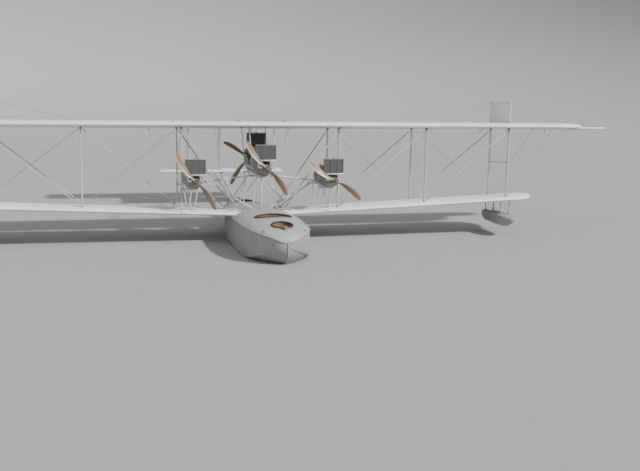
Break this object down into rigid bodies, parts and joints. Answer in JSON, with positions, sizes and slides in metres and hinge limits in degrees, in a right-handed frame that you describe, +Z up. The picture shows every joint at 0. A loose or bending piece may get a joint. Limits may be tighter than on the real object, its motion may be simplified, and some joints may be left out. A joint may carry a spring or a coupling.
{
  "type": "four-engined biplane flying boat",
  "caption": "Biplane flying boat with a short planked hull, engines abreast between wide wings on struts and stays, and a biplane tail on booms.",
  "frame": {"origin": "on the waterline, on the centre plane under the wings", "axes": "+X towards the port wing tip, +Y aft, +Z up"},
  "size_m": [38.4, 20.83, 7.54],
  "materials": {
    "hull_paint": "satin pale grey paint on planking",
    "grey_paint": "satin grey paint",
    "strut_paint": "satin pale grey paint on wood",
    "wing_fabric": "doped and painted cloth",
    "tail_fabric": "doped and painted cloth",
    "stay_steel": "galvanised wire",
    "engine_metal": "dark cast metal",
    "radiator_metal": "matt dark grey",
    "varnished_wood": "varnished laminated wood"
  },
  "bodies": {
    "airframe": {"hull": "hull_paint", "upper_wing_centre": "wing_fabric", "nacelle_centre": "grey_paint", "truss_centre": "strut_paint", "tailplane_upper": "tail_fabric", "tailplane_lower": "tail_fabric", "fin_centre": "tail_fabric", "boom_lower": "strut_paint", "lower_wing_port": "wing_fabric", "lower_wing_starboard": "wing_fabric", "upper_wing_port": "wing_fabric", "upper_wing_starboard": "wing_fabric", "float_port": "hull_paint", "float_starboard": "hull_paint", "skid_fin_port": "wing_fabric", "skid_fin_starboard": "wing_fabric", "strut_front_port": "strut_paint", "strut_front_starboard": "strut_paint", "strut_rear_port": "strut_paint", "strut_rear_starboard": "strut_paint", "struts_outer_port": "strut_paint", "struts_outer_starboard": "strut_paint", "cabane_port": "strut_paint", "cabane_starboard": "strut_paint", "stays_front_port": "stay_steel", "stays_front_starboard": "stay_steel", "stays_rear_port": "stay_steel", "stays_rear_starboard": "stay_steel", "nacelle_port": "grey_paint", "nacelle_starboard": "grey_paint", "truss_port": "strut_paint", "truss_starboard": "strut_paint", "boom_upper_port": "strut_paint", "boom_upper_starboard": "strut_paint", "fin_port": "tail_fabric", "fin_starboard": "tail_fabric", "tail_struts_port": "strut_paint", "tail_struts_starboard": "strut_paint", "engine_port": "engine_metal", "engine_centre": "engine_metal", "engine_starboard": "engine_metal", "engine_pusher": "engine_metal", "radiator_port": "radiator_metal", "radiator_centre": "radiator_metal", "radiator_starboard": "radiator_metal", "radiator_pusher": "radiator_metal"},
    "propeller_port": {"propeller_port": "varnished_wood"},
    "propeller_centre": {"propeller_centre": "varnished_wood"},
    "propeller_starboard": {"propeller_starboard": "varnished_wood"},
    "propeller_pusher": {"propeller_pusher": "varnished_wood"},
    "aileron_port": {"aileron_port": "wing_fabric"},
    "aileron_starboard": {"aileron_starboard": "wing_fabric"},
    "elevator_upper": {"elevator_upper": "tail_fabric"},
    "elevator_lower": {"elevator_lower": "tail_fabric"},
    "rudder_centre": {"rudder_centre": "tail_fabric"},
    "rudder_port": {"rudder_port": "tail_fabric"},
    "rudder_starboard": {"rudder_starboard": "tail_fabric"}
  },
  "joints": [
    {"name": "propeller_port_spin", "type": "hinge", "parent": "airframe", "child": "propeller_port", "pos_m": [3.19, -2.08, 3.01], "axis": [0, 1, 0], "continuous": true},
    {"name": "propeller_centre_spin", "type": "hinge", "parent": "airframe", "child": "propeller_centre", "pos_m": [0, -2.08, 3.59], "axis": [0, 1, 0], "continuous": true},
    {"name": "propeller_starboard_spin", "type": "hinge", "parent": "airframe", "child": "propeller_starboard", "pos_m": [-3.19, -2.08, 3.01], "axis": [0, 1, 0], "continuous": true},
    {"name": "propeller_pusher_spin", "type": "hinge", "parent": "airframe", "child": "propeller_pusher", "pos_m": [0, 2.7, 3.59], "axis": [0, 1, 0], "continuous": true},
    {"name": "aileron_port_hinge", "type": "hinge", "parent": "airframe", "child": "aileron_port", "pos_m": [15, 1.535, 5.31002], "axis": [1, 0, 0], "range_deg": [-25, 25]},
    {"name": "aileron_starboard_hinge", "type": "hinge", "parent": "airframe", "child": "aileron_starboard", "pos_m": [-15, 1.535, 5.31002], "axis": [1, 0, 0], "range_deg": [-25, 25]},
    {"name": "elevator_upper_hinge", "type": "hinge", "parent": "airframe", "child": "elevator_upper", "pos_m": [0, 13.06, 4.95], "axis": [1, 0, 0], "range_deg": [-25, 25]},
    {"name": "elevator_lower_hinge", "type": "hinge", "parent": "airframe", "child": "elevator_lower", "pos_m": [0, 13.06, 2.1], "axis": [1, 0, 0], "range_deg": [-25, 25]},
    {"name": "rudder_centre_hinge", "type": "hinge", "parent": "airframe", "child": "rudder_centre", "pos_m": [0, 12.86, 3.5], "axis": [0, 0, 1], "range_deg": [-25, 25]},
    {"name": "rudder_port_hinge", "type": "hinge", "parent": "airframe", "child": "rudder_port", "pos_m": [1.9, 12.86, 3.5], "axis": [0, 0, 1], "range_deg": [-25, 25]},
    {"name": "rudder_starboard_hinge", "type": "hinge", "parent": "airframe", "child": "rudder_starboard", "pos_m": [-1.9, 12.86, 3.5], "axis": [0, 0, 1], "range_deg": [-25, 25]}
  ],
  "couplings": [
    {"joint": "elevator_lower_hinge", "follows": "elevator_upper_hinge", "ratio": 1},
    {"joint": "rudder_port_hinge", "follows": "rudder_centre_hinge", "ratio": 1},
    {"joint": "rudder_starboard_hinge", "follows": "rudder_centre_hinge", "ratio": 1},
    {"joint": "aileron_starboard_hinge", "follows": "aileron_port_hinge", "ratio": -1}
  ]
}
